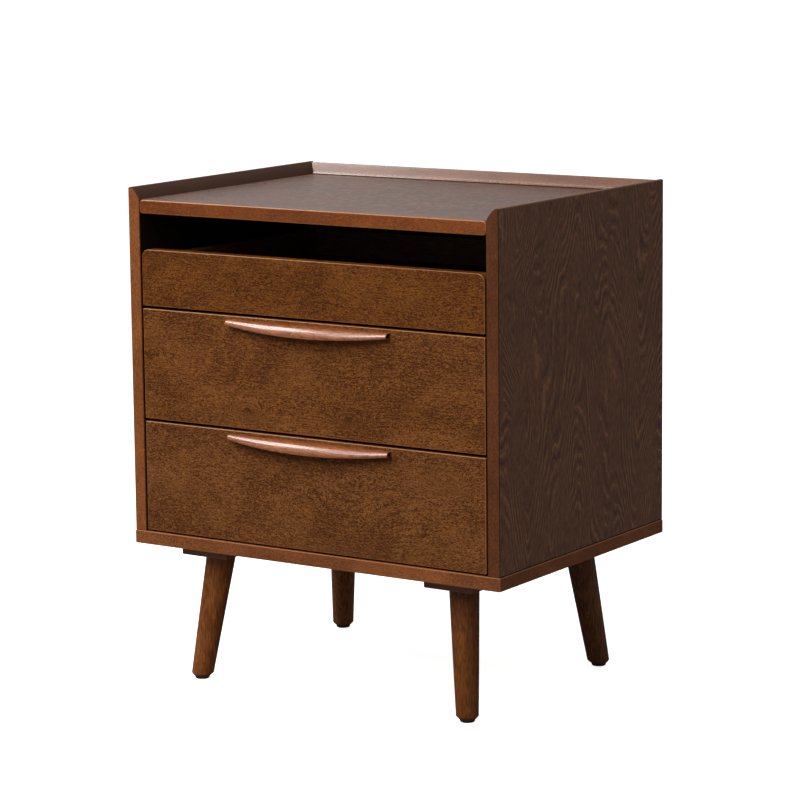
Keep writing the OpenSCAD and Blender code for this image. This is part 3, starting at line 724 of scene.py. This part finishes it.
# The left edge band is lighter than the right, as the light falls from the left: painted light and shade
BAND_COLOURS_LIT_AND_SHADED = {"left": (0.240, 0.075, 0.0190), "right": (0.110, 0.0325, 0.0085)}
for side in SIDES:
    side_veneer = stained_wood(f"{side} side veneer", (0.160, 0.060, 0.0215), "z", SIDE_OFFSETS[side],
                               flecks=0.42, fleck_size=(130, 900), blotches=0.35, flames=SIDE_FLAMES,
                               light_lines=1.8, figure=0.0, lines=105.0, wear_and_painted_light=0.8, roughness=0.46,
                               coat=0.1)
    # Its rounded edges are darkened to a quarter: painted shade for the seam lines beside the band
    edge_band = stained_wood(f"{side} edge band", BAND_COLOURS_LIT_AND_SHADED[side], "z", (0.2, 0.7, 0.1), flecks=0.35,
                             blotches=0.7, figure=0.2, wear_and_painted_light=0.25, roughness=0.45, shine=0.22)
    dress(side_board(side), "carcass", "side_veneer", [side_veneer, edge_band, painted_shade_wood, shaded_bevel_wood],
          f"{side}_side_panel")

# Top, base, back rail and the bead at its foot
top_veneer = stained_wood("top veneer", (0.093, 0.0295, 0.0090), "x", (0.1, 0.6, 0.4), flecks=0.55,
                          fleck_size=(85, 1000), blotches=0.6, figure=0.5, lines=150, wear_and_painted_light=1.8,
                          roughness=0.36, coat=0.2, coat_roughness=0.32, depth=0.45 * MM, open_grain=0.35)
# The pale factors on the top band's and the base board's rounded edges are rubbed wear and a painted
# highlight along the arrises
top_band = stained_wood("top edge band", (0.196, 0.050, 0.0085), "x", (0.5, 0.2, 0.3), flecks=0.35,
                        blotches=0.8, figure=0.2, wear_and_painted_light=(2.5, 3.3, 4.2), roughness=0.45, shine=0.25,
                        coat_roughness=0.25, polish=0.5)
base_wood = stained_wood("base board", (0.220, 0.069, 0.0190), "x", (0.8, 0.3, 0.1), flecks=0.35,
                         blotches=0.8, figure=0.2, wear_and_painted_light=(1.7, 2.0, 2.2), roughness=0.45, shine=0.25,
                         coat_roughness=0.25, polish=0.2)
rail_wood = stained_wood("gallery rail", (0.175, 0.063, 0.0265), "x", (0.3, 0.9, 0.6), flecks=0.15,
                         blotches=0.8, figure=0.15, wear_and_painted_light=0.5, roughness=0.34, coat=0.35,
                         coat_roughness=0.25, depth=0.02 * MM)
bead_lacquer = stained_wood("glossy lacquer bead", (0.22, 0.09, 0.04), "x", (0.3, 0.9, 0.6), flecks=0.3,
                            blotches=0.5, figure=0.2, wear_and_painted_light=1.2, roughness=0.26, coat=0.45,
                            coat_roughness=0.16, shine=0.6, depth=0.02 * MM)
dress(top_board(), "carcass", "face_veneer", [top_veneer, top_band, painted_shade_wood], "top_panel")
dress(plain_board("base_panel", "y", 1.3 * MM, 1.2 * MM), "carcass", "edge_wood", [base_wood], "base_panel")
dress(gallery_board(), "carcass", "edge_wood", [rail_wood, painted_shade_wood], "gallery_rail")
dress(foot_cove(), "carcass", "edge_wood", [bead_lacquer, painted_shade_wood])

# Legs and their blocks
# Each leg's colour stands in for the light that falls on it: lit and shaded copies of one wood, painted light
# and shade
LEG_COLOURS_LIT_AND_SHADED = {"front_left": (0.216, 0.066, 0.0135), "front_right": (0.150, 0.044, 0.0070),
               "back_right": (0.142, 0.052, 0.0200), "back_left": (0.200, 0.070, 0.0175)}
for k, corner in enumerate(CORNERS):
    leg_wood = stained_wood(f"turned leg {corner}", LEG_COLOURS_LIT_AND_SHADED[corner], "z", (0.17 * k, 0.3 * k, 0.1),
                            flecks=0.38, fleck_size=SAWN, blotches=0.6, figure=0.5, lines=260, wear_and_painted_light=1.4,
                            roughness=0.40, shine=0.22, swell=22)
    block_wood = stained_wood(f"leg block {corner}", (0.150, 0.049, 0.0160), "x", (0.4 * k, 0.2, 0.5),
                              flecks=0.3, blotches=0.6, figure=0.4, wear_and_painted_light=1.6)
    block = f"leg_block_{corner}"
    dress(tapered_leg(corner), "carcass", "turned_wood", [leg_wood], f"leg_{corner}")
    dress(plain_board(block, "z", 2.0 * MM, 1.4 * MM), "carcass", "turned_wood", [block_wood], block)

# Drawers
VENEERS = {
    "top": dict(colour=(0.116, 0.0350, 0.0053), figure=0.8, offset=(0.0, 0.31, 0.77),
                knots=((0.009, 0.4865, 0.010, 0.004, 0.012, 0.9),)),
    "middle": dict(colour=(0.139, 0.0457, 0.0100), figure=1.4, offset=(0.46, 0.12, 0.29),
                   knots=((-0.082, 0.318, 0.020, 0.009, 0.022, 0.55),
                          (0.050, 0.320, 0.022, 0.007, 0.018, 0.25))),
    "bottom": dict(colour=(0.141, 0.0480, 0.0122), figure=0.6, offset=(0.83, 0.55, 0.05),
                   knots=((0.172, 0.267, 0.024, 0.010, 0.022, 0.15),
                          (0.040, 0.205, 0.090, 0.035, 0.030, 0.0))),
}
BOX = dict(colour=(0.115, 0.050, 0.021), flecks=0.35, fleck_size=SAWN, blotches=0.6, figure=0.5, wear_and_painted_light=1.4,
           roughness=0.5, coat=0.05, coat_roughness=0.4, shine=0.35)
box_back = stained_wood("drawer back", grain="x", offset=(0.2, 0.5, 0.9), **BOX)
box_side = stained_wood("drawer side", grain="y", offset=(0.6, 0.1, 0.3), **BOX)
handle_wood = stained_wood("carved handle", (0.340, 0.103, 0.0280), "x", (0.4, 0.4, 0.4), flecks=0.3,
                           fleck_size=(90, 900), blotches=0.5, figure=0.3, lines=260, wear_and_painted_light=1.2,
                           roughness=0.25, coat=1.0, coat_roughness=0.18, shine=1.0, depth=0.012 * MM)
for level in LEVELS:
    body = f"{level}_drawer"
    # The pale blue-white factor on the rounded edges is rubbed wear and a painted highlight along the arrises
    veneer = stained_wood(f"{level} drawer veneer", flecks=1.2, curl=1.0, blotches=1.05, bands=0.45,
                          wear_and_painted_light=(3.6, 4.6, 6.0), polish=1.0, roughness=0.6, shine=0.1, coat_roughness=0.2,
                          **VENEERS[level])
    dress(drawer_face(level), body, "face_veneer", [veneer], f"{level}_drawer_front")
    for node in (f"{level}_drawer_side_left", f"{level}_drawer_side_right"):
        dress(plain_board(node, "y", 1.6 * MM, 0.5 * MM), body, "box_wood", [box_side], node)
    node = f"{level}_drawer_back"
    dress(plain_board(node, "x", 1.4 * MM, 0.3 * MM), body, "box_wood", [box_back], node)
    if level != "top":
        dress(bow_handle(level), body, "handle_wood", [handle_wood, painted_shade_wood], f"{level}_handle")

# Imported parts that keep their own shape, by a word in their names, the first that fits
zinc = plated_steel("zinc screws", (0.56, 0.57, 0.60), "x", 0.3)
CAD_FINISHES = (
    ("back_panel", plywood("back plywood", (0.115, 0.055, 0.026))),
    ("dowels", beech("beech dowel")),
    ("screws", zinc),
    ("bolts", zinc),
    ("slide", plated_steel("slide steel", (0.60, 0.61, 0.63), "y", 0.32)),
    ("glides", moulded_plastic("black glide")),
    ("drawer_bottom", plywood("drawer bottom plywood", (0.155, 0.078, 0.038))),
)
for name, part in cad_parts.items():
    if not part.hide_render:
        part.data.materials.clear()
        part.data.materials.append(next(finish for word, finish in CAD_FINISHES if word in name))


# ---------------------------------------------------------------- stage

def stage_floor():
    """A pale floor that the camera sees near white and that throws little light back up."""
    half = 40.0
    mesh = bpy.data.meshes.new("floor")
    mesh.from_pydata([(x, y, 0.0) for x, y in rectangle((-half, -half), (half, half))], [], [(0, 1, 2, 3)])
    floor = in_scene("floor", mesh)
    material = bpy.data.materials.new("pale floor")
    material.use_nodes = True
    tree = material.node_tree
    tree.nodes.clear()
    add, link = tree.nodes.new, tree.links.new
    seen, paint, glow, both, dim, mix, out = (add("ShaderNode" + k) for k in (
        "LightPath", "BsdfDiffuse", "Emission", "AddShader", "BsdfDiffuse", "MixShader", "OutputMaterial"))
    paint.inputs["Color"].default_value = (0.9, 0.9, 0.9, 1)
    glow.inputs["Strength"].default_value = 0.85
    dim.inputs["Color"].default_value = (0.18, 0.17, 0.165, 1)
    link(paint.outputs[0], both.inputs[0])
    link(glow.outputs[0], both.inputs[1])
    link(seen.outputs["Is Camera Ray"], mix.inputs[0])
    link(dim.outputs[0], mix.inputs[1])
    link(both.outputs[0], mix.inputs[2])
    link(mix.outputs[0], out.inputs[0])
    mesh.materials.append(material)


def soft_world(strength):
    """Dim even light from all round, which the camera itself sees as white."""
    world = bpy.data.worlds.new("studio")
    world.use_nodes = True
    tree = world.node_tree
    seen = tree.nodes.new("ShaderNodeLightPath")
    white = tree.nodes.new("ShaderNodeBackground")
    white.inputs["Color"].default_value = (1, 1, 1, 1)
    white.inputs["Strength"].default_value = 1.0
    room = tree.nodes["Background"]
    room.inputs["Color"].default_value = (1.0, 0.985, 0.97, 1)
    room.inputs["Strength"].default_value = strength
    mix = tree.nodes.new("ShaderNodeMixShader")
    tree.links.new(seen.outputs["Is Camera Ray"], mix.inputs[0])
    tree.links.new(room.outputs[0], mix.inputs[1])
    tree.links.new(white.outputs[0], mix.inputs[2])
    tree.links.new(mix.outputs[0], tree.nodes["World Output"].inputs["Surface"])
    bpy.context.scene.world = world


def softbox(name, direction, distance, size, radiance, colour=(1, 1, 1)):
    """A rectangular softbox of a given brightness, so far from the cabinet's middle in a given direction.

    Watts = pi x area x brightness.
    """
    light = bpy.data.lights.new(name, "AREA")
    light.shape = "RECTANGLE"
    light.size, light.size_y = size
    light.energy = math.pi * size[0] * size[1] * radiance
    light.color = colour
    lamp = in_scene(name, light)
    middle = np.array([0.0, 0.0, 0.35])
    away = np.array(direction, float)
    away /= np.linalg.norm(away)
    lamp.location = middle + away * distance
    lamp.rotation_euler = mathutils.Vector(away).to_track_quat("Z", "Y").to_euler()
    lamp.visible_camera = False


def studio_camera():
    """Long lens a little above the cabinet, turned to its front right corner."""
    yaw, pitch, roll = (math.radians(a) for a in (33.58, 9.06, -0.59))
    forward = np.array([-math.sin(yaw) * math.cos(pitch), math.cos(yaw) * math.cos(pitch), -math.sin(pitch)])
    level = np.array([math.cos(yaw), math.sin(yaw), 0.0])
    up = np.cross(level, forward)
    data = bpy.data.cameras.new("camera")
    data.lens, data.sensor_width, data.shift_y = 140.6, 36.0, -0.04
    data.clip_start, data.clip_end = 0.1, 200.0
    camera = in_scene("camera", data)
    turned = np.eye(4)
    turned[:3, 0] = math.cos(roll) * level + math.sin(roll) * up
    turned[:3, 1] = -math.sin(roll) * level + math.cos(roll) * up
    turned[:3, 2] = -forward
    turned[:3, 3] = (1.905, -2.8585, 0.8967)
    camera.matrix_world = mathutils.Matrix(turned.tolist())
    bpy.context.scene.camera = camera


stage_floor()
soft_world(0.36)
softbox("front softbox", (-0.10, -0.76, 0.60), 2.2, (1.3, 1.2), 6.6, (1.0, 0.97, 0.94))
softbox("overhead strip", (-0.62, 0.0, 0.78), 2.2, (2.8, 0.30), 7.5)
softbox("left strip", (-0.76, -0.22, 0.60), 2.2, (1.8, 0.25), 9.0)
softbox("low back panel", (-0.75, 1.1, 0.22), 2.6, (2.2, 0.7), 0.29, (1.0, 0.87, 0.88))
studio_camera()
bpy.context.scene.view_settings.view_transform = "Standard"
